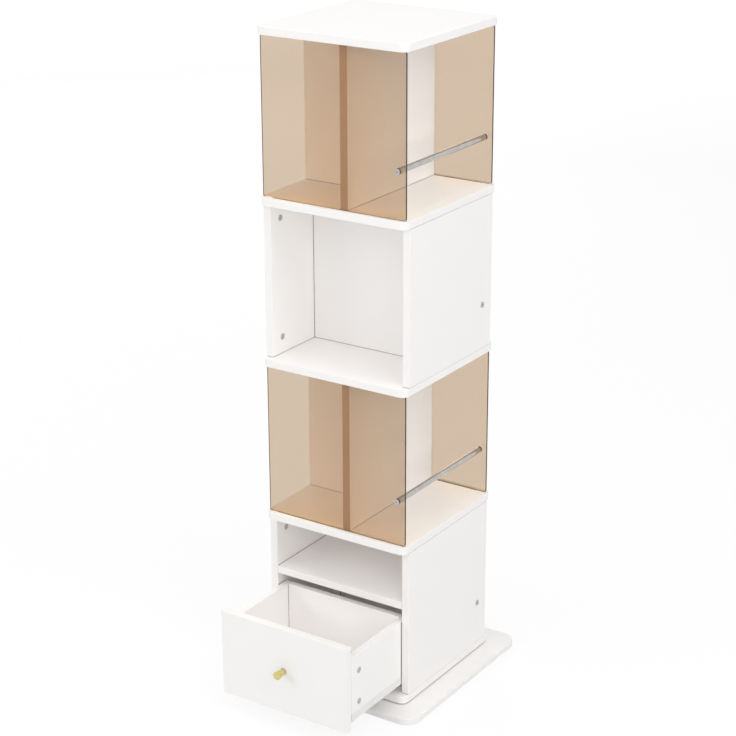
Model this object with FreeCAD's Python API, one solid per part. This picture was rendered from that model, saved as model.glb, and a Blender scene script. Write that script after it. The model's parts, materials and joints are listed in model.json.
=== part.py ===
"""Rotating display cabinet: a four-tier tower of slabs, panels and tinted panes that turns on a square base.

Millimetres. +Z is up, -Y is the front (drawer side) and the origin is on the floor, on the turning axis.
The drawer is modelled pulled out, as far as its slides allow.
"""
import FreeCAD, Part
import os
from math import cos, pi, sin
from FreeCAD import Vector

os.makedirs("parts", exist_ok=True)

# Tower
SLAB_SIDE = 310.0           # square slabs under, between and over the tiers
BOARD = 15.0                # slabs, panels, shelf and drawer front
SLAB_CORNER = 15.0          # plan radius of a slab's corners
SLAB_EASE = 1.2             # rounding along a slab's edges
TIER_HEIGHT = 290.0         # clear height between two slabs
PANEL_SETBACK = 15.0        # slab edge to the front and rear edges of the side panels
PANEL_EASE = 1.0            # rounding along the panels' free edges
EDGE_EASE = 0.8             # rounding along the edges that meet another board

# Base
BASE_SIDE = 395.0
BASE_THICKNESS = 12.0
BASE_CORNER = 28.0
BASE_EASE = 1.0
TURN_GAP = 2.0              # daylight between the base plate and the turning tower
FOOT_HEIGHT = 3.0
FOOT_RADIUS = 12.0
FOOT_INSET = 35.0           # base edge to the centre of a corner foot

# Turntable bearing
TRACK_RADIUS = 105.0        # circle of the ball centres
BALL_RADIUS = 3.0
BALL_COUNT = 12
RING_GAP = 1.2              # between the two rings
RING_LAND = 6.5             # track centre to the ring's plain edge
RING_FLANGE = 21.0          # track centre to the edge of the flange that takes the screws
CAGE_THICKNESS = 0.8
CAGE_RIM = 2.0              # cage left beside the balls
BALL_PLAY = 0.1             # running gap between the balls and the upper track
TRACK_FLOOR = 1.0           # ring left under the ball track
BALL_UNDER = 0.2            # room under a ball, which touches only the sloping walls of its track
RING_SCREWS = 6
BASE_SKIN = 1.8             # base plate left under the screws of the lower ring
SLAB_SKIN = 4.8             # bottom slab left over the screws of the upper ring

# Acrylic tiers
PANE_INSET = 5.0            # slab edge to a pane's side
PANE_THICKNESS = 5.0
PANE_CORNER = 4.0
PANE_ARRIS = 0.4            # bevel along a pane's outline
PANE_SETBACK = 8.0          # slab edge to a pane's outer face
TONGUE_HEIGHT = 5.0         # pane tongue in a slab groove
TONGUE_INSET = 20.0         # pane side to tongue side
DIVIDER_X = 21.5            # centre plane of the upright divider

# Guard rods
ROD_RADIUS = 5.6
ROD_RISE = 85.0             # above the slab
ROD_PANE_INSET = 17.0       # pane side to rod axis, acrylic tiers
ROD_PANEL_INSET = 31.0      # panel rear edge to rod axis, cube and drawer tiers
ROD_CAP_RADIUS = ROD_RADIUS
ROD_CAP_HEIGHT = 1.0
ROD_CAP_EASE = 0.4
ROD_SCREW_RADIUS = 2.0
ROD_SCREW_GRIP = 12.0       # length of the end screw in the rod

# Drawer tier
BAY_HEIGHT = 173.0          # slab to the underside of the shelf
RACK_DEPTH = 55.0           # rear edge of the side panels to the back panel
FRONT_GAP = 1.5             # round the drawer front
FRONT_EASE = 1.0
DRAWER_HELD = 30.0          # what stays in the bay when the drawer is fully out
DRAWER_BOARD = 12.0         # drawer sides and back
DRAWER_BACK_GAP = 4.0       # closed drawer to back panel
SIDE_BELOW_FRONT = 23.5     # top of the front to the top of the sides
SIDE_LIFT = 31.0            # bottom of the front to the bottom of the sides
BOTTOM_THICKNESS = 4.0
BOTTOM_LIFT = 6.0           # bottom of the sides to the drawer bottom
BOTTOM_TONGUE = 5.0         # drawer bottom let into the boards round it
DRAWER_CAM_REACH = 25.0     # front board to the cams on the drawer sides
DRAWER_CAM_LOW = 17.5       # bottom of a side to its lower cam
DRAWER_CAM_HIGH = 35.0      # top of a side to its upper cam
BACK_SCREW_INSET = 30.0     # top and bottom of a side to the screws of the back
BACK_SCREW_GRIP = 20.0
KNOB_ROOT_RADIUS = 5.5
KNOB_TIP_RADIUS = 8.0
KNOB_LENGTH = 21.0
KNOB_EASE = 0.8
KNOB_SCREW_GRIP = 7.0       # length of its screw in the knob

# Drawer slides: three nested members on each side, under the drawer side
RAIL_HEIGHT = 14.5          # the drawer's own member
RAIL_WALL = 1.5
RAIL_FRONT_GAP = 1.0        # closed drawer front to the ends of the rails
RAIL_SLOT = 4.0             # opening between the lips below
MIDDLE_WALL = 1.2
MIDDLE_SLOT = 3.2
SLIDE_PLAY = 0.4            # running gap between nested members
STEM_WIDTH = 1.6
RAIL_FOOT = 2.0             # thickness of the fixed rail's foot
RAIL_FOOT_REACH = 20.0      # from the rail's centre towards the middle of the bay
RAIL_SCREW_INSET = 6.5      # from the foot's inner edge to its screws
RAIL_SCREW_GRIP = 5.0       # in the slab and in the drawer sides

# Fasteners and fits
FIT = 0.1                   # radial gap round pressed or screwed hardware
GROOVE_PLAY = 0.25          # each side of a tongue in its groove
CAM_RADIUS = 6.0
CAM_FLOOR = 3.0             # board left behind a cam lock
CAM_SINK = 0.4              # face of the board to the face of the cam lock
CAM_FROM_END = 32.0         # joint to cam centre
CAM_FROM_EDGE = 30.0        # board edge to the first cam
CAM_GRIP = 2.0              # bolt end past the centre of the cam
BOLT_RADIUS = 2.3
BOLT_HOLE_PLAY = 0.4
DOWEL_RADIUS = 4.0
DOWEL_IN_BOARD = 20.0
DOWEL_END_ROOM = 1.0
BLIND_SKIN = 5.0            # board left beyond a blind hole
SCREW_RADIUS = 1.8
SCREW_HEAD_RADIUS = 3.6
SCREW_HEAD_HEIGHT = 1.3

# Levels and planes worked out from the sizes above
UP = Vector(0, 0, 1)
RIGHT = Vector(1, 0, 0)
BACK = Vector(0, 1, 0)
BASE_TOP = FOOT_HEIGHT + BASE_THICKNESS
TOWER_BOTTOM = BASE_TOP + TURN_GAP
TIER_PITCH = TIER_HEIGHT + BOARD
RING_THICKNESS = BALL_RADIUS - RING_GAP / 2 + BALL_UNDER + TRACK_FLOOR
CAGE_HALF_WIDTH = BALL_RADIUS + CAGE_RIM
HALF = SLAB_SIDE / 2
INNER = HALF - BOARD                            # inner faces of the side panels
PANEL_EDGE = HALF - PANEL_SETBACK               # front and rear edges of the side panels
PANE_HALF = HALF - PANE_INSET
PANE_FACE = HALF - PANE_SETBACK                 # outer faces of the panes
PANE_INNER = PANE_FACE - PANE_THICKNESS
DIVIDER_LEFT = DIVIDER_X - BOARD / 2
BAY_BACK = PANEL_EDGE - RACK_DEPTH - BOARD      # front face of the drawer tier's back panel
DRAWER_OUT = BAY_BACK + PANEL_EDGE - DRAWER_HELD
SMOOTH_ANGLE = 0.1                              # radians, between faces that run into each other
SLABS = ["bottom_slab", "lower_slab", "middle_slab", "upper_slab", "top_slab"]

blanks = {}                 # boards and panes before they are drilled
bores = {}                  # what is cut from each of them
groups = {}                 # small pieces that share a node


def slab_bottom(level):
    return TOWER_BOTTOM + level * TIER_PITCH


def tier_floor(tier):
    return slab_bottom(tier) + BOARD


def tier_ceiling(tier):
    return slab_bottom(tier + 1)


def thirds(low, high):
    return [low + (high - low) / 3, high - (high - low) / 3]


def box(low, high):
    """Block between two opposite corners."""
    size = Vector(*high) - Vector(*low)
    return Part.makeBox(size.x, size.y, size.z, Vector(*low))


def rod(radius, length, start, direction):
    return Part.makeCylinder(radius, length, start, direction)


def ease(solid, radius, chosen):
    """Round the edges for which chosen(middle point, direction) is true."""
    edges = []
    for edge in solid.Edges:
        ends = edge.Vertexes
        direction = ends[-1].Point - ends[0].Point
        if chosen(edge.CenterOfMass, direction):
            edges.append(edge)
    return solid.makeFillet(radius, edges)


def sharp_edges(solid):
    """Edges at which two faces meet at an angle, and not those beside a rounding."""
    found = []
    for edge in solid.Edges:
        middle = edge.valueAt((edge.FirstParameter + edge.LastParameter) / 2)
        faces = solid.ancestorsOfType(edge, Part.Face)
        normals = [face.normalAt(*face.Surface.parameter(middle)) for face in faces]
        if normals[0].getAngle(normals[-1]) > SMOOTH_ANGLE:
            found.append(edge)
    return found


def round_rim(solid, centre, radius):
    """Round the circular edge that has this centre."""
    rim = [edge for edge in solid.Edges if (edge.CenterOfMass - centre).Length < 1e-6]
    return solid.makeFillet(radius, rim)


def along(axis, direction):
    return abs(direction.dot(axis)) > 1e-6


def eased_board(low, high, free_edge=None, free_radius=PANEL_EASE):
    """Board whose free edges have the larger rounding, and all others the smaller one."""
    solid = box(low, high)
    if free_edge:
        solid = ease(solid, free_radius, free_edge)
    return solid.makeFillet(EDGE_EASE, sharp_edges(solid))


def add_blank(name, solid):
    blanks[name] = solid
    bores[name] = []


def drill(name, cutter):
    bores[name].append(cutter)


def add_to_group(name, solid):
    groups.setdefault(name, []).append(solid)


def square_plate(side, thickness, corner, edge, underside):
    """Square board with rounded corners and softened edges."""
    plate = box((-side / 2, -side / 2, underside), (side / 2, side / 2, underside + thickness))
    plate = ease(plate, corner, lambda middle, direction: along(UP, direction))
    return plate.makeFillet(edge, sharp_edges(plate))


def cam_fastener(prefix, board, mate, thickness, centre, outward, towards, reach, anchor):
    """Cam lock let into a face of board, and the bolt that it draws, screwed into mate.

    centre is on the board's middle plane, outward leaves the face that shows the cam, and towards
    leads to the mate, whose face is reach away. The bolt goes anchor deep into the mate.
    """
    depth = thickness - CAM_FLOOR
    face = centre + outward * (thickness / 2)
    joint = centre + towards * reach
    bolt_end = centre - towards * CAM_GRIP
    passage = rod(BOLT_RADIUS + BOLT_HOLE_PLAY, CAM_GRIP + reach, bolt_end, towards)
    lock = rod(CAM_RADIUS, depth - CAM_SINK, face - outward * CAM_SINK, -outward)
    add_to_group(prefix + "_cam_locks", lock.cut(passage))
    add_to_group(prefix + "_cam_bolts", rod(BOLT_RADIUS, CAM_GRIP + reach + anchor, bolt_end, towards))
    drill(board, rod(CAM_RADIUS + FIT, depth, face, -outward))
    drill(board, passage)
    drill(mate, rod(BOLT_RADIUS + FIT, anchor, joint, towards))


def dowel(prefix, board, mate, joint, towards, anchor):
    """Wooden dowel across a butt joint, from board into mate."""
    pin = rod(DOWEL_RADIUS, DOWEL_IN_BOARD + anchor, joint - towards * DOWEL_IN_BOARD, towards)
    add_to_group(prefix + "_dowels", pin)
    drill(board, rod(DOWEL_RADIUS + FIT, DOWEL_IN_BOARD + DOWEL_END_ROOM, joint, -towards))
    drill(mate, rod(DOWEL_RADIUS + FIT, anchor, joint, towards))


def flat_head_screw(group, at, direction, plate, grip, carrier):
    """Countersunk screw whose head is flush with the near face of a plate, driven into carrier."""
    head = Part.makeCone(SCREW_HEAD_RADIUS, SCREW_RADIUS, SCREW_HEAD_HEIGHT, at, direction)
    shank = rod(SCREW_RADIUS, plate + grip, at, direction)
    add_to_group(group, head.fuse(shank).removeSplitter())
    drill(carrier, rod(SCREW_RADIUS + FIT, grip, at + direction * plate, direction))


def screw_hole(at, direction, plate):
    """Countersunk hole for such a screw, through a plate."""
    seat = Part.makeCone(SCREW_HEAD_RADIUS, SCREW_RADIUS, SCREW_HEAD_HEIGHT, at, direction)
    return seat.fuse(rod(SCREW_RADIUS + FIT, plate, at, direction))


def fix_upright(board, tier, outward, cam_spots, dowel_spots):
    """Join a board's lower and upper ends to the slabs of its tier with cams and dowels."""
    anchor = BOARD - BLIND_SKIN
    ends = [(tier_floor(tier), -UP, SLABS[tier]), (tier_ceiling(tier), UP, SLABS[tier + 1])]
    for level, towards, slab in ends:
        for x, y in cam_spots:
            centre = Vector(x, y, level) - towards * CAM_FROM_END
            cam_fastener("panel", board, slab, BOARD, centre, outward, towards, CAM_FROM_END, anchor)
        for x, y in dowel_spots:
            dowel("panel", board, slab, Vector(x, y, level), towards, anchor)


def guard_rod(name, start, direction, length, walls, wall_thickness):
    """Rod between two walls, held by a flat-headed screw through each of them."""
    bar = rod(ROD_RADIUS, length, start, direction)
    ends = [(start, -direction, walls[0]), (start + direction * length, direction, walls[1])]
    for end, outward, wall in ends:
        grip_start = end - outward * ROD_SCREW_GRIP
        bar = bar.cut(rod(ROD_SCREW_RADIUS + FIT, ROD_SCREW_GRIP, grip_start, outward))
        drill(wall, rod(ROD_SCREW_RADIUS + FIT, wall_thickness, end, outward))
        seat = end + outward * wall_thickness
        cap = rod(ROD_CAP_RADIUS, ROD_CAP_HEIGHT, seat, outward)
        cap = round_rim(cap, seat + outward * ROD_CAP_HEIGHT, ROD_CAP_EASE)
        shank = rod(ROD_SCREW_RADIUS, ROD_SCREW_GRIP + wall_thickness, grip_start, outward)
        add_to_group("rod_end_screws", cap.fuse(shank).removeSplitter())
    groups[name] = [bar]


def make_slabs():
    for level, name in enumerate(SLABS):
        plate = square_plate(SLAB_SIDE, BOARD, SLAB_CORNER, SLAB_EASE, slab_bottom(level))
        add_blank(name, plate)


def ring(inner, outer, bottom, thickness):
    tube = rod(outer, thickness, Vector(0, 0, bottom), UP)
    return tube.cut(rod(inner, thickness, Vector(0, 0, bottom), UP))


def race(inner, outer, face, back, ball_height):
    """Flat ring whose track, a groove with sloping walls, holds the balls at their height."""
    depth = abs(face - back) - TRACK_FLOOR
    contact = BALL_RADIUS * 2 ** 0.5            # wall at 45 degrees, touching a ball of this radius
    mouth = contact - abs(face - ball_height)
    floor_half = mouth - depth
    floor = face + depth * (1 if back > face else -1)
    profile = [(inner, back), (inner, face), (TRACK_RADIUS - mouth, face), (TRACK_RADIUS - floor_half, floor),
               (TRACK_RADIUS + floor_half, floor), (TRACK_RADIUS + mouth, face), (outer, face), (outer, back)]
    outline = Part.makePolygon([Vector(r, 0, z) for r, z in profile + profile[:1]])
    return Part.Face(outline).revolve(Vector(0, 0, 0), UP, 360)


def make_base_and_bearing():
    add_blank("base_plate", square_plate(BASE_SIDE, BASE_THICKNESS, BASE_CORNER, BASE_EASE, FOOT_HEIGHT))
    reach = BASE_SIDE / 2 - FOOT_INSET
    for x, y in [(0, 0), (reach, reach), (-reach, reach), (-reach, -reach), (reach, -reach)]:
        add_to_group("foot_pads", rod(FOOT_RADIUS, FOOT_HEIGHT, Vector(x, y, 0), UP))

    middle = BASE_TOP + TURN_GAP / 2
    lower_top = middle - RING_GAP / 2
    upper_bottom = middle + RING_GAP / 2
    lower_bottom = lower_top - RING_THICKNESS
    upper_top = upper_bottom + RING_THICKNESS
    lower_inner, lower_outer = TRACK_RADIUS - RING_LAND, TRACK_RADIUS + RING_FLANGE
    upper_inner, upper_outer = TRACK_RADIUS - RING_FLANGE, TRACK_RADIUS + RING_LAND
    drill("base_plate", ring(lower_inner - FIT, lower_outer + FIT, lower_bottom, BASE_TOP - lower_bottom))
    drill("bottom_slab", ring(upper_inner - FIT, upper_outer + FIT, TOWER_BOTTOM, upper_top - TOWER_BOTTOM))

    # The balls lie in the lower track and clear the upper one by the running gap.
    lower_ring = race(lower_inner, lower_outer, lower_top, lower_bottom, middle)
    upper_ring = race(upper_inner, upper_outer, upper_bottom, upper_top, middle + BALL_PLAY)
    cage_bottom = middle - CAGE_THICKNESS / 2
    cage = ring(TRACK_RADIUS - CAGE_HALF_WIDTH, TRACK_RADIUS + CAGE_HALF_WIDTH, cage_bottom, CAGE_THICKNESS)
    for i in range(BALL_COUNT):
        angle = 2 * pi * i / BALL_COUNT
        centre = Vector(TRACK_RADIUS * cos(angle), TRACK_RADIUS * sin(angle), middle)
        add_to_group("bearing_balls", Part.makeSphere(BALL_RADIUS, centre))
        cage = cage.cut(rod(BALL_RADIUS, CAGE_THICKNESS, centre - UP * (CAGE_THICKNESS / 2), UP))
    groups["ball_cage"] = [cage]

    base_grip = lower_bottom - FOOT_HEIGHT - BASE_SKIN
    slab_grip = TOWER_BOTTOM + BOARD - upper_top - SLAB_SKIN
    lower_line = (TRACK_RADIUS + RING_LAND + lower_outer) / 2
    upper_line = (TRACK_RADIUS - RING_LAND + upper_inner) / 2
    for i in range(RING_SCREWS):
        angle = 2 * pi * (i + 0.5) / RING_SCREWS
        spoke = Vector(cos(angle), sin(angle), 0)
        below = spoke * lower_line + UP * lower_top
        above = spoke * upper_line + UP * upper_bottom
        flat_head_screw("lower_ring_screws", below, -UP, RING_THICKNESS, base_grip, "base_plate")
        flat_head_screw("upper_ring_screws", above, UP, RING_THICKNESS, slab_grip, "bottom_slab")
        lower_ring = lower_ring.cut(screw_hole(below, -UP, RING_THICKNESS))
        upper_ring = upper_ring.cut(screw_hole(above, UP, RING_THICKNESS))
    groups["bearing_lower_ring"] = [lower_ring]
    groups["bearing_upper_ring"] = [upper_ring]


def make_pane(name, tier, side):
    """Pane standing on its slab, with a tongue above and below in stopped grooves of the slabs."""
    floor, ceiling = tier_floor(tier), tier_ceiling(tier)
    near, far = sorted([side * PANE_INNER, side * PANE_FACE])
    sheet = box((-PANE_HALF, near, floor), (PANE_HALF, far, ceiling))
    sheet = ease(sheet, PANE_CORNER, lambda middle, direction: along(BACK, direction))
    sheet = sheet.makeChamfer(PANE_ARRIS, sharp_edges(sheet))
    tongue = PANE_HALF - TONGUE_INSET
    sheet = sheet.fuse(box((-tongue, near, floor - TONGUE_HEIGHT), (tongue, far, ceiling + TONGUE_HEIGHT)))
    add_blank(name, sheet.removeSplitter())
    groove_depth = TONGUE_HEIGHT + GROOVE_PLAY
    groove_half = tongue + GROOVE_PLAY
    for low, high, slab in [(floor - groove_depth, floor, SLABS[tier]),
                            (ceiling, ceiling + groove_depth, SLABS[tier + 1])]:
        drill(slab, box((-groove_half, near - GROOVE_PLAY, low), (groove_half, far + GROOVE_PLAY, high)))


def make_acrylic_tier(prefix, tier):
    floor, ceiling = tier_floor(tier), tier_ceiling(tier)
    front, rear = prefix + "_front_pane", prefix + "_rear_pane"
    divider, cross = prefix + "_divider", prefix + "_cross_panel"
    make_pane(front, tier, -1)
    make_pane(rear, tier, 1)
    divider_right = DIVIDER_LEFT + BOARD
    add_blank(divider, eased_board((DIVIDER_LEFT, -PANE_INNER, floor), (divider_right, PANE_INNER, ceiling)))
    add_blank(cross, eased_board(
        (-HALF, -BOARD / 2, floor), (DIVIDER_LEFT, BOARD / 2, ceiling),
        lambda middle, direction: along(UP, direction) and middle.x < -INNER))

    cam_y = PANE_INNER - CAM_FROM_EDGE
    fix_upright(divider, tier, -RIGHT, [(DIVIDER_X, -cam_y), (DIVIDER_X, cam_y)], [(DIVIDER_X, 0)])
    fix_upright(cross, tier, BACK, [], [((DIVIDER_LEFT - HALF) / 2, 0)])
    for z in thirds(floor, ceiling):
        dowel("panel", cross, divider, Vector(DIVIDER_LEFT, 0, z), RIGHT, BOARD - BLIND_SKIN)

    start = Vector(PANE_HALF - ROD_PANE_INSET, -PANE_INNER, floor + ROD_RISE)
    guard_rod(prefix + "_guard_rod", start, BACK, 2 * PANE_INNER, [front, rear], PANE_THICKNESS)


def make_side_panel(name, tier, side):
    near, far = sorted([side * INNER, side * HALF])
    add_blank(name, eased_board(
        (near, -PANEL_EDGE, tier_floor(tier)), (far, PANEL_EDGE, tier_ceiling(tier)),
        lambda middle, direction: along(UP, direction)))
    middle = side * (HALF - BOARD / 2)
    cam_y = PANEL_EDGE - CAM_FROM_EDGE
    fix_upright(name, tier, -RIGHT * side, [(middle, -cam_y), (middle, cam_y)], [(middle, 0)])


def join_between_sides(name, sides, y, z_spots):
    """Dowel both ends of a board to the side panels."""
    for side, panel in zip((-1, 1), sides):
        for z in z_spots:
            dowel("panel", name, panel, Vector(side * INNER, y, z), RIGHT * side, BOARD - BLIND_SKIN)


def make_walled_tier(prefix, tier, back_face, back_name):
    """Two side panels with a panel across between them, and a guard rod behind it."""
    floor, ceiling = tier_floor(tier), tier_ceiling(tier)
    sides = [prefix + "_left_panel", prefix + "_right_panel"]
    for side, name in zip((-1, 1), sides):
        make_side_panel(name, tier, side)
    add_blank(back_name, eased_board((-INNER, back_face, floor), (INNER, back_face + BOARD, ceiling)))
    middle = back_face + BOARD / 2
    fix_upright(back_name, tier, BACK, [], [(0, middle)])
    join_between_sides(back_name, sides, middle, thirds(floor, ceiling))
    start = Vector(-INNER, PANEL_EDGE - ROD_PANEL_INSET, floor + ROD_RISE)
    guard_rod(prefix + "_guard_rod", start, RIGHT, 2 * INNER, sides, BOARD)
    return sides


def make_drawer_tier():
    sides = make_walled_tier("drawer_bay", 0, BAY_BACK, "drawer_bay_back_panel")
    under = tier_floor(0) + BAY_HEIGHT
    front_edge = PANEL_EASE - PANEL_EDGE
    add_blank("drawer_bay_shelf", eased_board(
        (-INNER, -PANEL_EDGE, under), (INNER, BAY_BACK, under + BOARD),
        lambda middle, direction: along(RIGHT, direction) and middle.y < front_edge))
    for y in (-PANEL_EDGE + CAM_FROM_EDGE + CAM_RADIUS, BAY_BACK - CAM_FROM_EDGE):
        join_between_sides("drawer_bay_shelf", sides, y, [under + BOARD / 2])


def lipped_channel(width, height, wall, slot, centre_x, bottom, y_from, y_to):
    """Channel that opens downwards, with lips that leave a slot between them."""
    outer = box((centre_x - width / 2, y_from, bottom), (centre_x + width / 2, y_to, bottom + height))
    half = width / 2 - wall
    inside = box((centre_x - half, y_from, bottom + wall), (centre_x + half, y_to, bottom + height - wall))
    gap = box((centre_x - slot / 2, y_from, bottom), (centre_x + slot / 2, y_to, bottom + wall))
    return outer.cut(inside.fuse(gap))


def make_slide(label, side, side_face, side_bottom):
    """The three members of one drawer slide, run out with the drawer."""
    rail_from = -PANEL_EDGE + BOARD + RAIL_FRONT_GAP
    rail_to = BAY_BACK - DRAWER_BACK_GAP
    centre = side * (side_face - DRAWER_BOARD / 2)
    rail_bottom = side_bottom - RAIL_HEIGHT
    out = -BACK * DRAWER_OUT
    floor = tier_floor(0)

    outer = lipped_channel(DRAWER_BOARD, RAIL_HEIGHT, RAIL_WALL, RAIL_SLOT, centre, rail_bottom,
                           rail_from, rail_to)
    outer.translate(out)
    middle_width = DRAWER_BOARD - 2 * RAIL_WALL - 2 * SLIDE_PLAY
    middle_height = RAIL_HEIGHT - 2 * RAIL_WALL - 2 * SLIDE_PLAY
    middle_bottom = rail_bottom + RAIL_WALL + SLIDE_PLAY
    middle = lipped_channel(middle_width, middle_height, MIDDLE_WALL, MIDDLE_SLOT, centre, middle_bottom,
                            rail_from, rail_to)
    middle.translate(out / 2)

    head_half = middle_width / 2 - MIDDLE_WALL - SLIDE_PLAY
    head_bottom = middle_bottom + MIDDLE_WALL + SLIDE_PLAY
    head_top = middle_bottom + middle_height - MIDDLE_WALL - SLIDE_PLAY
    head = box((centre - head_half, rail_from, head_bottom), (centre + head_half, rail_to, head_top))
    stem = box((centre - STEM_WIDTH / 2, rail_from, floor), (centre + STEM_WIDTH / 2, rail_to, head_bottom))
    foot_in, foot_out = centre - side * RAIL_FOOT_REACH, centre + side * DRAWER_BOARD / 2
    foot_low, foot_high = sorted([foot_in, foot_out])
    foot = box((foot_low, rail_from, floor), (foot_high, rail_to, floor + RAIL_FOOT))
    fixed = head.fuse([stem, foot]).removeSplitter()
    for share in (1 / 5, 4 / 5):
        y = rail_from + share * (rail_to - rail_from)
        at = Vector(foot_in + side * RAIL_SCREW_INSET, y, floor + RAIL_FOOT)
        flat_head_screw("slide_rail_screws", at, -UP, RAIL_FOOT, RAIL_SCREW_GRIP, "bottom_slab")
        fixed = fixed.cut(screw_hole(at, -UP, RAIL_FOOT))
        into = Vector(centre, y, side_bottom - RAIL_WALL) + out
        flat_head_screw("drawer_rail_screws", into, UP, RAIL_WALL, RAIL_SCREW_GRIP, "drawer_%s_side" % label)
        outer = outer.cut(screw_hole(into, UP, RAIL_WALL))
    groups["slide_rail_" + label] = [fixed]
    groups["slide_middle_" + label] = [middle]
    groups["drawer_rail_" + label] = [outer]


def make_knob(face_y, height):
    """Tapered knob with its screw through the drawer front."""
    root = Vector(0, face_y, height)
    knob = Part.makeCone(KNOB_ROOT_RADIUS, KNOB_TIP_RADIUS, KNOB_LENGTH, root, -BACK)
    knob = round_rim(knob, root - BACK * KNOB_LENGTH, KNOB_EASE)
    groups["drawer_knob"] = [knob.cut(rod(SCREW_RADIUS + FIT, KNOB_SCREW_GRIP, root, -BACK))]
    inside = root + BACK * BOARD
    head = rod(SCREW_HEAD_RADIUS, SCREW_HEAD_HEIGHT, inside, BACK)
    shank = rod(SCREW_RADIUS, BOARD + KNOB_SCREW_GRIP, inside, -BACK)
    groups["knob_screw"] = [head.fuse(shank).removeSplitter()]
    drill("drawer_front", rod(SCREW_RADIUS + FIT, BOARD, root, BACK))


def make_drawer():
    """Inset drawer, all of it at the pulled-out position."""
    shift = -DRAWER_OUT
    face = -PANEL_EDGE + shift
    back_of_front = face + BOARD
    rear = BAY_BACK - DRAWER_BACK_GAP + shift
    low, high = tier_floor(0) + FRONT_GAP, tier_floor(0) + BAY_HEIGHT - FRONT_GAP
    side_face = INNER - FRONT_GAP
    inside = side_face - DRAWER_BOARD
    side_low, side_high = low + SIDE_LIFT, high - SIDE_BELOW_FRONT
    top_edge = side_high - FRONT_EASE

    front = box((-side_face, face, low), (side_face, back_of_front, high))
    add_blank("drawer_front", ease(front, FRONT_EASE, lambda middle, direction: True))
    for side, label in ((-1, "left"), (1, "right")):
        near, far = sorted([side * inside, side * side_face])
        add_blank("drawer_%s_side" % label, eased_board(
            (near, back_of_front, side_low), (far, rear, side_high),
            lambda middle, direction: along(BACK, direction) and middle.z > top_edge, FRONT_EASE))
    add_blank("drawer_back", eased_board(
        (-inside, rear - DRAWER_BOARD, side_low), (inside, rear, side_high),
        lambda middle, direction: along(RIGHT, direction) and middle.z > top_edge, FRONT_EASE))

    def sheet(tongue):
        edge = inside + tongue
        low_y, high_y = back_of_front - tongue, rear - DRAWER_BOARD + tongue
        low_z = side_low + BOTTOM_LIFT
        return box((-edge, low_y, low_z), (edge, high_y, low_z + BOTTOM_THICKNESS))

    groups["drawer_bottom"] = [sheet(BOTTOM_TONGUE - GROOVE_PLAY)]
    groove = sheet(BOTTOM_TONGUE)
    for name in ("drawer_front", "drawer_left_side", "drawer_right_side", "drawer_back"):
        drill(name, groove)

    for side, label in ((-1, "left"), (1, "right")):
        board = "drawer_%s_side" % label
        middle = side * (side_face - DRAWER_BOARD / 2)
        for z in (side_low + DRAWER_CAM_LOW, side_high - DRAWER_CAM_HIGH):
            centre = Vector(middle, back_of_front + DRAWER_CAM_REACH, z)
            cam_fastener("drawer", board, "drawer_front", DRAWER_BOARD, centre, RIGHT * side, -BACK,
                         DRAWER_CAM_REACH, BOARD - BLIND_SKIN)
        for z in (side_low + BACK_SCREW_INSET, side_high - BACK_SCREW_INSET):
            at = Vector(side * side_face, rear - DRAWER_BOARD / 2, z)
            flat_head_screw("drawer_back_screws", at, -RIGHT * side, DRAWER_BOARD, BACK_SCREW_GRIP,
                            "drawer_back")
            drill(board, screw_hole(at, -RIGHT * side, DRAWER_BOARD))
        make_slide(label, side, side_face, side_low)
    make_knob(face, (low + high) / 2)


make_slabs()
make_base_and_bearing()
make_drawer_tier()
make_acrylic_tier("lower", 1)
make_walled_tier("cube", 2, -BOARD / 2, "cube_cross_panel")
make_acrylic_tier("upper", 3)
make_drawer()

for name, blank in blanks.items():
    finished = blank.cut(Part.makeCompound(bores[name])) if bores[name] else blank
    finished.exportStep("parts/%s.step" % name)
for name, solids in groups.items():
    shape = solids[0] if len(solids) == 1 else Part.makeCompound(solids)
    shape.exportStep("parts/%s.step" % name)
print(len(blanks) + len(groups), "nodes")
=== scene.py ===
"""Looks of the rotating display cabinet: materials, detailed fasteners, studio light and camera.

Metres, in the part's own frame: +Z is up, -Y is the front, and the origin is on the floor,
on the turning axis.
"""
import json
from math import cos, pi, radians, sin

import bmesh
import bpy
from mathutils import Matrix, Vector


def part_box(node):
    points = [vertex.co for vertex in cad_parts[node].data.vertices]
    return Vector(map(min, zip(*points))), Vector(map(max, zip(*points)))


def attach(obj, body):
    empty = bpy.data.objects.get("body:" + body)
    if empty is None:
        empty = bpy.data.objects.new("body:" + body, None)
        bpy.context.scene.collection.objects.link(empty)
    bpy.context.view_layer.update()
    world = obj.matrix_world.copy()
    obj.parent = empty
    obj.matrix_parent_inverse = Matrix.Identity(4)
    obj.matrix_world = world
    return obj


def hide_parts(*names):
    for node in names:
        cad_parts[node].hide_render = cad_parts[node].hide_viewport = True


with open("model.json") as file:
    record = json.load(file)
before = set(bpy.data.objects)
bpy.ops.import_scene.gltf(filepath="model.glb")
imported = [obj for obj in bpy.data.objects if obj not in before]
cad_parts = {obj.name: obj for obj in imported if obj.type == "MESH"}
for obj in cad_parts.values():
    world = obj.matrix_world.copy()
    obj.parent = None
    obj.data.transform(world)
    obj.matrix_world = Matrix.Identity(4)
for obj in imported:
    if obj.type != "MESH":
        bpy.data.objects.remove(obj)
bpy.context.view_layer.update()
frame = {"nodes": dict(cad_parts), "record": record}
nodes = frame["nodes"]
scene = bpy.context.scene
scene.view_settings.view_transform = "Standard"
scene.cycles.diffuse_bounces = 12      # white compartments light themselves by many bounces
scene.cycles.max_bounces = 20

MM = 0.001


# Materials

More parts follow.
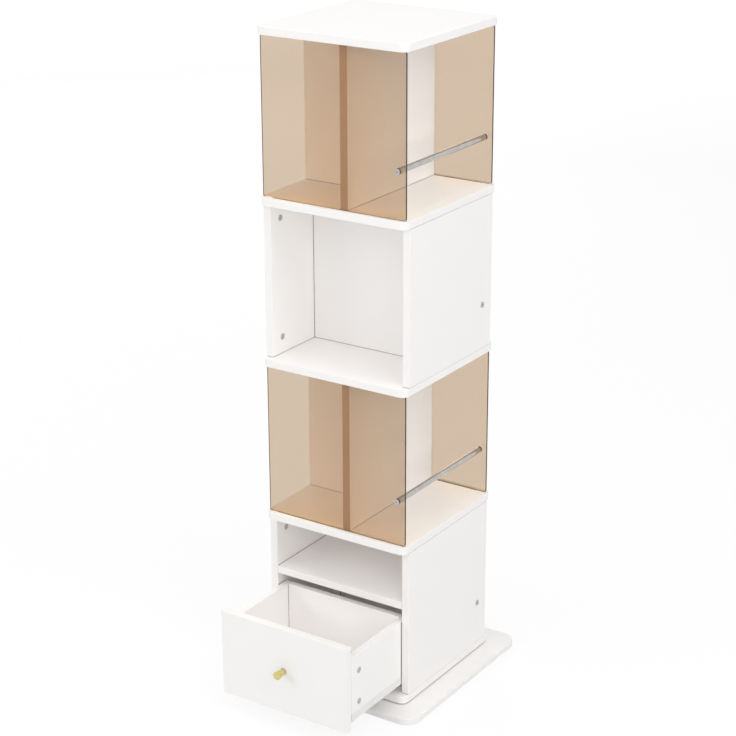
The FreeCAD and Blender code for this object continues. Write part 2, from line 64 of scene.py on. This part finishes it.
BOARD_DARK, BOARD_LIGHT = (0.939, 0.922, 0.909), (0.945, 0.929, 0.917)
BOARD_JOINT_SHADE = (0.24, 0.22, 0.20)        # painted shade: the dark line where two boards meet
SLAB_JOINT_SHADE = (0.60, 0.58, 0.56)         # painted shade, paler: the line on the slabs, the base plate and the drawer's sides
RUBBED_EDGE = (0.90, 0.88, 0.86)
PANE_SHADE_ON_EDGE = (0.58, 0.465, 0.385)     # painted shade on the edge of a divider, where it lies on a pane
JOINT_SHADE_REACH = 2.5 * MM                  # a face nearer than this to another gets the painted joint shade
EDGE_WIDTH = 1.5 * MM                   # rubbed strip along an edge

SEEN_THROUGH = (0.667, 0.534, 0.430, 1)     # tint of what shows through a pane
LIT_THROUGH = (0.965, 0.845, 0.665, 1)      # tint of light that falls through, once for each face
ACRYLIC_BODY = (0.725, 0.58, 0.0, 1)
ACRYLIC_DENSITY = 20.0
ACRYLIC_IOR = 1.49


class Tree:
    """The nodes of a material or world, written one call a node.

    An input is a plain value or another node's output.
    """

    def __init__(self, owner, output="OutputMaterial"):
        owner.use_nodes = True
        self.owner = owner
        self.tree = owner.node_tree
        self.tree.nodes.clear()
        self.output = self.add(output)
        self.coordinates = self.add("TexCoord").outputs

    def add(self, kind, inputs=None, **settings):
        node = self.tree.nodes.new("ShaderNode" + kind)
        for key, value in settings.items():
            setattr(node, key, value)
        for key, value in (inputs or {}).items():
            if isinstance(value, bpy.types.NodeSocket):
                self.tree.links.new(value, node.inputs[key])
            else:
                node.inputs[key].default_value = value
        return node

    def noise(self, scale, detail=2.0, stretch=None):
        """Noise with features about 1 / scale metres across, longer along an axis with a stretch below 1."""
        place = self.coordinates["Object"]
        if stretch:
            place = self.add("Mapping", {"Vector": place, "Scale": stretch}).outputs["Vector"]
        return self.add("TexNoise", {"Vector": place, "Scale": scale, "Detail": detail}).outputs["Fac"]

    def between(self, share, low, high, start=0.3, end=0.7):
        """Number that goes from low to high while share goes from start to end."""
        inputs = {"Value": share, "From Min": start, "From Max": end, "To Min": low, "To Max": high}
        return self.add("MapRange", inputs).outputs["Result"]

    def colours(self, share, first, last, start=0.3, end=0.7):
        """Colour that goes from first to last while share goes from start to end."""
        ramp = self.add("ValToRGB", {"Fac": share})
        for stop, colour, position in zip(ramp.color_ramp.elements, (first, last), (start, end)):
            stop.color = (*colour, 1)
            stop.position = position
        return ramp.outputs["Color"]

    def bump(self, height, strength, depth, under=None):
        inputs = {"Height": height, "Strength": strength, "Distance": depth}
        if under:
            inputs["Normal"] = under
        return self.add("Bump", inputs).outputs["Normal"]

    def math(self, operation, *values):
        return self.add("Math", dict(enumerate(values)), operation=operation).outputs[0]

    def mix(self, share, first, last):
        """Colour that goes from first, another node's output, to last with the share."""
        return self.add("Mix", {0: share, 6: first, 7: (*last, 1)}, data_type="RGBA").outputs[2]

    def principled(self, **inputs):
        named = {key.replace("_", " "): value for key, value in inputs.items()}
        return self.add("BsdfPrincipled", named).outputs["BSDF"]

    def finish(self, shader, volume=None):
        self.tree.links.new(shader, self.output.inputs["Surface"])
        if volume:
            self.tree.links.new(volume, self.output.inputs["Volume"])
        return self.owner


def material_tree(name):
    return Tree(bpy.data.materials.new(name))


def white_board(name, joint_shade_colour, beside_panes=False):
    """Satin white laminate: fine pebbled face, faint mottling, painted shade in the joints, rubbed edges.

    The edges of a board beside the panes lie on them: they get a painted shade, and aren't taken for joints.
    """
    t = material_tree(name)
    mottle = t.noise(scale=22, detail=3)
    pebble = t.noise(scale=1600)
    wave = t.bump(t.noise(scale=60, detail=1), strength=0.08, depth=0.15 * MM)
    relief = t.bump(pebble, strength=0.12, depth=0.04 * MM, under=wave)

    # Painted shade in the joints: the less open space a point sees, the darker its colour.
    openness = t.add("AmbientOcclusion", {"Distance": JOINT_SHADE_REACH}, samples=6).outputs["AO"]
    joint = t.between(openness, low=1.0, high=0.0, start=0.50, end=0.82)
    if beside_panes:
        # Painted shade on the edges that face the front or the rear, where they lie on the panes.
        frontal = t.math("ABSOLUTE", t.add("SeparateXYZ", {0: t.coordinates["Normal"]}).outputs["Y"])
        pane_shade = t.between(frontal, low=0.0, high=1.0, start=0.4, end=0.6)
        joint = t.math("MULTIPLY", joint, t.math("SUBTRACT", 1.0, pane_shade))

    facing = t.add("NewGeometry").outputs["Normal"]
    rounded = t.add("Bevel", {"Radius": EDGE_WIDTH}, samples=4).outputs["Normal"]
    along = t.add("VectorMath", {0: rounded, 1: facing}, operation="DOT_PRODUCT").outputs["Value"]
    near_edge = t.between(along, low=1.0, high=0.0, start=0.88, end=0.99)
    rubbed = t.math("MULTIPLY", near_edge, t.noise(scale=260, detail=4))

    colour = t.colours(mottle, BOARD_DARK, BOARD_LIGHT)
    colour = t.mix(rubbed, colour, RUBBED_EDGE)
    # the painted joint shade
    colour = t.mix(joint, colour, joint_shade_colour)
    if beside_panes:
        # the painted shade on edges that lie on the panes
        colour = t.mix(pane_shade, colour, PANE_SHADE_ON_EDGE)
    return t.finish(t.principled(
        Base_Color=colour, Roughness=t.between(pebble, low=0.40, high=0.52), Normal=relief))


def amber_acrylic():
    """Clear amber-brown sheet with polished faces. Its colour deepens with the way through it."""
    t = material_tree("amber_acrylic")
    ripple = t.bump(t.noise(scale=14, detail=1), strength=0.05, depth=0.1 * MM)
    sheet = t.principled(
        Base_Color=SEEN_THROUGH, Roughness=0.01, IOR=ACRYLIC_IOR, Transmission_Weight=1.0, Normal=ripple)
    lit = t.add("BsdfTransparent", {"Color": LIT_THROUGH}).outputs["BSDF"]
    shadow = t.add("LightPath").outputs["Is Shadow Ray"]
    body = t.add("VolumeAbsorption", {"Color": ACRYLIC_BODY, "Density": ACRYLIC_DENSITY}).outputs["Volume"]
    mixed = t.add("MixShader", {0: shadow, 1: sheet, 2: lit}).outputs["Shader"]
    return t.finish(mixed, body)


def sawn_acrylic():
    """Sawn edge of the amber sheet: satin, with fine saw lines across it, and darker than the faces."""
    t = material_tree("sawn_acrylic")
    lines = t.noise(scale=700, detail=3, stretch=(0.2, 0.2, 1))
    return t.finish(t.principled(
        Base_Color=t.colours(lines, (0.044, 0.018, 0.005), (0.062, 0.027, 0.009)),
        Roughness=t.between(lines, low=0.32, high=0.46), Specular_IOR_Level=0.25,
        Normal=t.bump(lines, strength=0.2, depth=0.02 * MM)))


def metal(name, dark, bright, roughness, grain, depth=0.02, metallic=1.0):
    """Metal with fine grain, its depth in millimetres. A dull cast or lacquered skin is less metallic."""
    t = material_tree(name)
    lines = t.noise(grain, detail=3)
    cloud = t.noise(scale=90)
    return t.finish(t.principled(
        Base_Color=t.colours(cloud, dark, bright), Metallic=metallic,
        Roughness=t.between(lines, roughness - 0.06, roughness + 0.08),
        Normal=t.bump(lines, strength=0.25, depth=depth * MM)))


def dull(name, dark, bright, roughness, grain, depth):
    """Plastic, rubber or paint with a fine pebbled skin, its depth in millimetres."""
    t = material_tree(name)
    pebble = t.noise(grain, detail=3)
    cloud = t.noise(scale=120)
    return t.finish(t.principled(
        Base_Color=t.colours(cloud, dark, bright),
        Roughness=t.between(pebble, roughness - 0.08, roughness + 0.08),
        Normal=t.bump(pebble, strength=0.3, depth=depth * MM)))


def beech():
    """Wood of the dowels, with its grain along their length."""
    t = material_tree("beech")
    grain = t.noise(scale=900, detail=4, stretch=(1, 1, 0.08))
    return t.finish(t.principled(
        Base_Color=t.colours(grain, (0.52, 0.32, 0.16), (0.66, 0.45, 0.25)), Roughness=0.62,
        Normal=t.bump(grain, strength=0.3, depth=0.05 * MM)))


materials = {
    "white_board": white_board("white_board", BOARD_JOINT_SHADE),
    "amber_acrylic": amber_acrylic(),
    "steel_rod": metal(
        "steel_rod", (0.47, 0.46, 0.45), (0.54, 0.53, 0.52), roughness=0.20, grain=2500),
    "cam_zinc": metal(
        "cam_zinc", (0.51, 0.51, 0.50), (0.60, 0.60, 0.59), roughness=0.50, grain=1800, metallic=0.35),
    "screw_steel": metal(
        "screw_steel", (0.42, 0.42, 0.43), (0.52, 0.52, 0.53), roughness=0.32, grain=2200),
    "bearing_steel": metal(
        "bearing_steel", (0.44, 0.45, 0.46), (0.53, 0.54, 0.55), roughness=0.26, grain=2200),
    "brass_knob": metal(
        "brass_knob", (0.66, 0.575, 0.22), (0.74, 0.655, 0.28), roughness=0.30, grain=2600,
        depth=0.008, metallic=0.8),
    "slide_steel": dull(
        "slide_steel", (0.82, 0.82, 0.80), (0.86, 0.86, 0.84), roughness=0.45, grain=2400, depth=0.03),
    "cage_plastic": dull(
        "cage_plastic", (0.60, 0.60, 0.57), (0.66, 0.66, 0.63), roughness=0.50, grain=1500, depth=0.02),
    "rubber_foot": dull(
        "rubber_foot", (0.018, 0.018, 0.018), (0.030, 0.030, 0.030), roughness=0.75, grain=1200,
        depth=0.05),
    "beech": beech(),
}
slab_board = white_board("slab_board", SLAB_JOINT_SHADE)
divider_board = white_board("divider_board", BOARD_JOINT_SHADE, beside_panes=True)
own_materials = {"lower_divider": divider_board, "upper_divider": divider_board, "base_plate": slab_board}
for level in ("bottom", "lower", "middle", "upper", "top"):
    own_materials[level + "_slab"] = slab_board
for side in ("left", "right"):
    own_materials["drawer_%s_side" % side] = slab_board
for part in frame["record"]["subparts"]:
    name = part["node"]
    mesh = nodes[name].data
    mesh.materials.clear()
    mesh.materials.append(own_materials.get(name, materials[part["material_slot"]]))


# Panes

PANE_CLEARANCE = 0.2 * MM
WELD_REACH = 0.001 * MM
CREASE_ANGLE = 30           # faces that meet at more than this keep a sharp edge
EDGE_FACING = 0.5           # a face that looks less than this to the front or the rear is a sawn edge


def sawn_edges(material):
    """Geometry nodes that give the material to a pane's faces that don't look to the front or rear."""
    group = bpy.data.node_groups.new("sawn_edges", "GeometryNodeTree")
    for way in ("INPUT", "OUTPUT"):
        group.interface.new_socket("Geometry", in_out=way, socket_type="NodeSocketGeometry")
    kinds = ("NodeGroupInput", "GeometryNodeInputNormal", "ShaderNodeSeparateXYZ", "ShaderNodeMath",
             "ShaderNodeMath", "GeometryNodeSetMaterial", "NodeGroupOutput")
    pane, facing, parts, size, is_edge, painted, result = [group.nodes.new(kind) for kind in kinds]
    size.operation = "ABSOLUTE"
    is_edge.operation = "LESS_THAN"
    is_edge.inputs[1].default_value = EDGE_FACING
    painted.inputs["Material"].default_value = material
    group.links.new(facing.outputs["Normal"], parts.inputs[0])
    group.links.new(parts.outputs["Y"], size.inputs[0])
    group.links.new(size.outputs[0], is_edge.inputs[0])
    group.links.new(pane.outputs[0], painted.inputs["Geometry"])
    group.links.new(is_edge.outputs[0], painted.inputs["Selection"])
    group.links.new(painted.outputs[0], result.inputs[0])
    return group


def finish_pane(node, edges):
    """Draws a pane's skin in by a hair, so that light gets between it and what it touches.

    Its sawn edges take their own material.
    """
    node.modifiers.new("weld", "WELD").merge_threshold = WELD_REACH
    shrink = node.modifiers.new("shrink", "DISPLACE")
    shrink.strength = -PANE_CLEARANCE
    shrink.mid_level = 0
    node.modifiers.new("crease", "EDGE_SPLIT").split_angle = radians(CREASE_ANGLE)
    node.modifiers.new("edges", "NODES").node_group = edges


pane_edges = sawn_edges(sawn_acrylic())
for tier in ("lower", "upper"):
    for side in ("front", "rear"):
        finish_pane(nodes["%s_%s_pane" % (tier, side)], pane_edges)


# Fasteners, in millimetres: a head looks along +Z of its own frame, and lies at its origin

RIGHT, BACK, UP = Vector((1, 0, 0)), Vector((0, 1, 0)), Vector((0, 0, 1))
BOARD = 15.0
PANE = 5.0
SMOOTH_ANGLE = 32           # faces that meet at more than this keep a sharp edge

RECESS_PARTS = 4            # parts that each side of a recess is cut into
RECESS_TAPER = 0.86         # width of a recess at its bottom, over that at its face

CAM_SINK = 0.4              # face of the board to the face of the cam
CAM_RADIUS = 6.0
CAM_DISC = 2.6              # thickness of the cam's front disc
CAM_CHAMFER = 0.35
GROOVE_OUTER, GROOVE_INNER = 5.0, 4.5       # radii of the groove round the cam's face
GROOVE_DEPTH = 0.4
GROOVE_SLANT = 0.05
CAM_CROSS, CAM_CROSS_ARM, CAM_CROSS_DEPTH = 5.4, 1.3, 1.5
ARROW_FROM, ARROW_TO, ARROW_HALF = 3.1, 4.2, 0.55
ARROW_ROOT, ARROW_RISE = -0.1, 0.18
CAM_HOLLOW = 3.2            # radius of the room for the bolt's end
CAM_MOUTH = 58              # half angle of the opening that the bolt comes in by
DRUM_STEPS = 24
DRUM_OVERLAP = 0.1          # of the drum and the disc

PANEL_CAM_FROM_END = 32.0
PANEL_CAM_FROM_EDGE = 30.0
PANEL_CAM_FLOOR = 3.4       # board left behind the cam
PANEL_CAM_TURN = 0.12       # most that a cam is turned past its mark, in radians
PANEL_CAM_TURN_STEP = 2.4
DRAWER_CAM_FROM_BOTTOM = 17.5
DRAWER_CAM_FROM_TOP = 35.0
DRAWER_CAM_FROM_FRONT = 25.0
DRAWER_CAM_DEPTH = 8.6
DRAWER_CAM_TURN = 0.1

ROD_SCREW_RADIUS = 2.0
ROD_SCREW_REACH = 12.0      # in the rod
ROD_SCREW_CHAMFER = 0.4
ROD_CAP_RADIUS = 5.6
ROD_CAP_HEIGHT = 1.0
ROD_CAP_ROUNDING = 0.4
ROD_CAP_OFF = 0.12          # wall to the back of the cap
ROUNDING_MIDDLE = 0.3       # depth of a rounding's middle under the corner, over its radius
SOCKET_RADIUS, SOCKET_DEPTH = 1.5, 1.6

PAN_SHANK, PAN_TIP = 1.8, 1.2       # radius of the screw's shank and of its end
PAN_POINT = 0.8                     # length of the taper between them
PAN_HEAD = ((3.6, 0), (3.6, 0.45), (3.3, 0.95), (2.6, 1.25), (2.2, 1.3))    # circles: radius and height
PAN_CROSS, PAN_CROSS_ARM, PAN_CROSS_DEPTH = 3.4, 0.9, 1.1


def seat(at, outward, towards):
    """Frame of a fastener whose head looks outward and whose X axis points to the joint that it closes."""
    axes = Matrix((towards, outward.cross(towards), outward)).transposed().to_4x4()
    return Matrix.Translation(at) @ axes @ Matrix.Scale(MM, 4)


def arc(radius, angles):
    return [Vector((radius * cos(angle), radius * sin(angle))) for angle in angles]


def hexagon(radius):
    return arc(radius, [pi / 3 * i for i in range(6)])


def cross(length, width, turn):
    """Outline of a cross recess, turned round the centre."""
    half, arm = width / 2, length / 2
    quarter = [Vector((arm, -half)), Vector((arm, half)), Vector((half, half))]
    return [Matrix.Rotation(turn + pi / 2 * i, 2) @ point for i in range(4) for point in quarter]


def divided(outline, parts):
    """The outline with each side cut into equal parts."""
    ends = outline[1:] + outline[:1]
    return [a.lerp(b, i / parts) for a, b in zip(outline, ends) for i in range(parts)]


def skin(bm, rings, place):
    """Closed shell over a stack of rings, each a list of points in the fastener's frame."""
    rows = [[bm.verts.new(place @ point) for point in ring] for ring in rings]
    for lower, upper in zip(rows, rows[1:]):
        for i in range(len(lower)):
            bm.faces.new((lower[i - 1], lower[i], upper[i], upper[i - 1]))
    bm.faces.new(reversed(rows[0]))
    bm.faces.new(rows[-1])


def turned_head(bm, place, circles, recess, recess_depth):
    """Turned piece with a recess in its face, given as circles (radius, height) from back to face."""
    outline = divided(recess, RECESS_PARTS)
    rings = [[(radius * point.normalized()).to_3d() + UP * height for point in outline]
             for radius, height in circles]
    face = circles[-1][1]
    rings.append([point.to_3d() + UP * face for point in outline])
    rings.append([RECESS_TAPER * point.to_3d() + UP * (face - recess_depth) for point in outline])
    skin(bm, rings, place)


def prism(bm, place, outline, low, high):
    skin(bm, [[point.to_3d() + UP * height for point in outline] for height in (low, high)], place)


def cam(bm, place, depth, turn):
    """Cam lock: grooved disc with a cross recess and an arrow, and a hooked drum behind it."""
    circles = [
        (CAM_RADIUS, -CAM_DISC), (CAM_RADIUS, -CAM_CHAMFER), (CAM_RADIUS - CAM_CHAMFER, 0),
        (GROOVE_OUTER + GROOVE_SLANT, 0), (GROOVE_OUTER - GROOVE_SLANT, -GROOVE_DEPTH),
        (GROOVE_INNER + GROOVE_SLANT, -GROOVE_DEPTH), (GROOVE_INNER - GROOVE_SLANT, 0)]
    recess = cross(CAM_CROSS, CAM_CROSS_ARM, pi / 4 + turn)
    turned_head(bm, place, circles, recess, CAM_CROSS_DEPTH)

    arrow = [Vector((ARROW_FROM, ARROW_HALF)), Vector((ARROW_FROM, -ARROW_HALF)), Vector((ARROW_TO, 0))]
    to_turn = Matrix.Rotation(turn, 2)
    prism(bm, place, [to_turn @ corner for corner in arrow], ARROW_ROOT, ARROW_RISE)

    sweep = [radians(CAM_MOUTH + (360 - 2 * CAM_MOUTH) * i / DRUM_STEPS) for i in range(DRUM_STEPS + 1)]
    drum = arc(CAM_RADIUS, sweep) + arc(CAM_HOLLOW, reversed(sweep))
    prism(bm, place, drum, -depth, -CAM_DISC + DRUM_OVERLAP)


def rod_end(bm, place, wall):
    """Low cap with a hexagon socket, on a screw that goes through the wall into the rod."""
    end = -wall - ROD_SCREW_REACH
    middle = ROUNDING_MIDDLE * ROD_CAP_ROUNDING
    circles = [
        (ROD_SCREW_RADIUS - ROD_SCREW_CHAMFER, end), (ROD_SCREW_RADIUS, end + ROD_SCREW_CHAMFER),
        (ROD_SCREW_RADIUS, ROD_CAP_OFF), (ROD_CAP_RADIUS, ROD_CAP_OFF),
        (ROD_CAP_RADIUS, ROD_CAP_HEIGHT - ROD_CAP_ROUNDING),
        (ROD_CAP_RADIUS - middle, ROD_CAP_HEIGHT - middle),
        (ROD_CAP_RADIUS - ROD_CAP_ROUNDING, ROD_CAP_HEIGHT)]
    turned_head(bm, place, circles, hexagon(SOCKET_RADIUS), SOCKET_DEPTH)


def pan_screw(bm, place, length):
    shank = [(PAN_TIP, -length), (PAN_SHANK, -length + PAN_POINT), (PAN_SHANK, 0)]
    turned_head(bm, place, [*shank, *PAN_HEAD], cross(PAN_CROSS, PAN_CROSS_ARM, pi / 4), PAN_CROSS_DEPTH)


def piece(name, bm, body, slot, node):
    """Finish a fastener piece: it stands for a CAD node and moves with that node's body."""
    mesh = bpy.data.meshes.new(name)
    bm.to_mesh(mesh)
    bm.free()
    mesh.shade_smooth()
    mesh.set_sharp_from_angle(angle=radians(SMOOTH_ANGLE))
    mesh.materials.append(materials[slot])
    made = bpy.data.objects.new(name, mesh)
    scene.collection.objects.link(made)
    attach(made, body)
    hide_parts(node)


def corners(node):
    low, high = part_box(node)
    return Vector(low), Vector(high)


def make_panel_cams():
    bm = bmesh.new()
    boards = {"drawer_bay_left_panel": RIGHT, "drawer_bay_right_panel": -RIGHT, "cube_left_panel": RIGHT,
              "cube_right_panel": -RIGHT, "lower_divider": -RIGHT, "upper_divider": -RIGHT}
    count = 0
    for node, outward in boards.items():
        low, high = corners(node)
        face = high.x if outward.x > 0 else low.x
        ends = ((low.z + PANEL_CAM_FROM_END * MM, -UP), (high.z - PANEL_CAM_FROM_END * MM, UP))
        for y in (low.y + PANEL_CAM_FROM_EDGE * MM, high.y - PANEL_CAM_FROM_EDGE * MM):
            for z, towards in ends:
                at = Vector((face, y, z)) - outward * CAM_SINK * MM
                count += 1
                turn = PANEL_CAM_TURN * sin(PANEL_CAM_TURN_STEP * count)
                cam(bm, seat(at, outward, towards), BOARD - PANEL_CAM_FLOOR, turn)
    piece("panel_cams", bm, "tower", "cam_zinc", "panel_cam_locks")


def make_drawer_cams():
    bm = bmesh.new()
    for node, outward in (("drawer_left_side", -RIGHT), ("drawer_right_side", RIGHT)):
        low, high = corners(node)
        face = high.x if outward.x > 0 else low.x
        for z in (low.z + DRAWER_CAM_FROM_BOTTOM * MM, high.z - DRAWER_CAM_FROM_TOP * MM):
            at = Vector((face, low.y + DRAWER_CAM_FROM_FRONT * MM, z)) - outward * CAM_SINK * MM
            cam(bm, seat(at, outward, -BACK), DRAWER_CAM_DEPTH, DRAWER_CAM_TURN * outward.x)
    piece("drawer_cams", bm, "drawer", "cam_zinc", "drawer_cam_locks")


def make_rod_ends():
    bm = bmesh.new()
    rods = {"lower_guard_rod": (BACK, PANE), "upper_guard_rod": (BACK, PANE),
            "cube_guard_rod": (RIGHT, BOARD), "drawer_bay_guard_rod": (RIGHT, BOARD)}
    for node, (axis, wall) in rods.items():
        low, high = corners(node)
        middle = (low + high) / 2
        half = (high - low).dot(axis) / 2
        for outward in (axis, -axis):
            rod_end(bm, seat(middle + outward * (half + wall * MM), outward, UP), wall)
    piece("rod_end_caps", bm, "tower", "steel_rod", "rod_end_screws")


def make_knob_screw():
    bm = bmesh.new()
    low, high = corners("knob_screw")
    head = PAN_HEAD[-1][1]
    at = Vector(((low.x + high.x) / 2, high.y - head * MM, (low.z + high.z) / 2))
    pan_screw(bm, seat(at, BACK, UP), (high.y - low.y) / MM - head)
    piece("knob_pan_screw", bm, "drawer", "screw_steel", "knob_screw")


make_panel_cams()
make_drawer_cams()
make_rod_ends()
make_knob_screw()


# Stage: floor, light and camera

FLOOR_HALF = 60
FLOOR_COLOUR = (0.80, 0.80, 0.80)
FLOOR_SHADOW = (0.14, 0.14, 0.14)   # lit share of the seen floor, which keeps the object's shadow
LIFT_NEAR = 0.86            # glow of the seen floor, which makes it white with the lit share
LIFT_FAR = 0.97
NEAR_FLOOR = 4.0            # distances from the object
FAR_FLOOR = 6.5
WHITE = (1, 1, 1, 1)
WORLD_LIGHT = 0.33
LAMP_SIZE = 2.5
LAMP_DISTANCE = 5.0
LAMP_TARGET = (0, 0, 0.6)
CAMERA_SENSOR = 36
CAMERA_LENS = 97.457
CAMERA_PLACE = (1.8922, -2.9000, 1.8949)
CAMERA_TURN, CAMERA_DIP, CAMERA_ROLL = 33.469, 20.417, -0.208


def seen_directly(t):
    """1 for rays that show the backdrop itself: to the camera, in a reflection or through glass."""
    path = t.add("LightPath").outputs
    either = t.math("MAXIMUM", path["Is Camera Ray"], path["Is Glossy Ray"])
    return t.math("MAXIMUM", either, path["Is Transmission Ray"])


def make_floor():
    bm = bmesh.new()
    bmesh.ops.create_grid(bm, x_segments=1, y_segments=1, size=FLOOR_HALF)
    mesh = bpy.data.meshes.new("floor")
    bm.to_mesh(mesh)
    bm.free()
    floor = bpy.data.objects.new("floor", mesh)
    scene.collection.objects.link(floor)
    t = material_tree("floor")
    lit = t.add("BsdfDiffuse", {"Color": (*FLOOR_COLOUR, 1)}).outputs["BSDF"]
    faint = t.add("BsdfDiffuse", {"Color": (*FLOOR_SHADOW, 1)}).outputs["BSDF"]
    away = t.add("VectorMath", {0: t.coordinates["Object"]}, operation="LENGTH").outputs["Value"]
    lift = t.between(away, LIFT_NEAR, LIFT_FAR, NEAR_FLOOR, FAR_FLOOR)
    glow = t.add("Emission", {"Color": WHITE, "Strength": lift}).outputs["Emission"]
    backdrop = t.add("AddShader", {0: faint, 1: glow}).outputs["Shader"]
    shown = t.add("MixShader", {0: seen_directly(t), 1: lit, 2: backdrop}).outputs["Shader"]
    mesh.materials.append(t.finish(shown))


def make_world():
    t = Tree(bpy.data.worlds.new("studio"), "OutputWorld")
    strength = t.between(seen_directly(t), WORLD_LIGHT, 1.0, 0.0, 1.0)
    sky = t.add("Background", {"Color": WHITE, "Strength": strength}).outputs["Background"]
    scene.world = t.finish(sky)


def add_lamp(name, azimuth, elevation, power):
    """Large soft lamp that looks at the object's middle. Azimuth 0 is in front of it, 90 to its right."""
    data = bpy.data.lights.new(name, "AREA")
    data.size = LAMP_SIZE
    data.energy = power
    turn, rise = radians(azimuth), radians(elevation)
    way = Vector((sin(turn) * cos(rise), -cos(turn) * cos(rise), sin(rise)))
    lamp = bpy.data.objects.new(name, data)
    lamp.location = Vector(LAMP_TARGET) + way * LAMP_DISTANCE
    lamp.rotation_euler = (-way).to_track_quat("-Z", "Y").to_euler()
    lamp.visible_glossy = False     # metal and gloss show the plain white studio, not the lamps' outlines
    scene.collection.objects.link(lamp)


def make_camera():
    data = bpy.data.cameras.new("camera")
    data.sensor_width = CAMERA_SENSOR
    data.lens = CAMERA_LENS
    camera = bpy.data.objects.new("camera", data)
    turn = Matrix.Rotation(radians(CAMERA_TURN), 4, "Z")
    tilt = Matrix.Rotation(radians(90 - CAMERA_DIP), 4, "X")
    roll = Matrix.Rotation(radians(CAMERA_ROLL), 4, "Z")
    camera.matrix_world = Matrix.Translation(CAMERA_PLACE) @ turn @ tilt @ roll
    scene.collection.objects.link(camera)
    scene.camera = camera


make_floor()
make_world()
add_lamp("overhead", azimuth=33, elevation=85, power=52)
add_lamp("front_high", azimuth=0, elevation=50, power=21)
add_lamp("key", azimuth=45, elevation=20, power=59)
add_lamp("front_left", azimuth=-40, elevation=20, power=53)
add_lamp("left", azimuth=-65, elevation=20, power=25)
add_lamp("right", azimuth=90, elevation=22, power=35)
add_lamp("right_high", azimuth=75, elevation=50, power=46)
add_lamp("back_left", azimuth=-135, elevation=20, power=66)
make_camera()
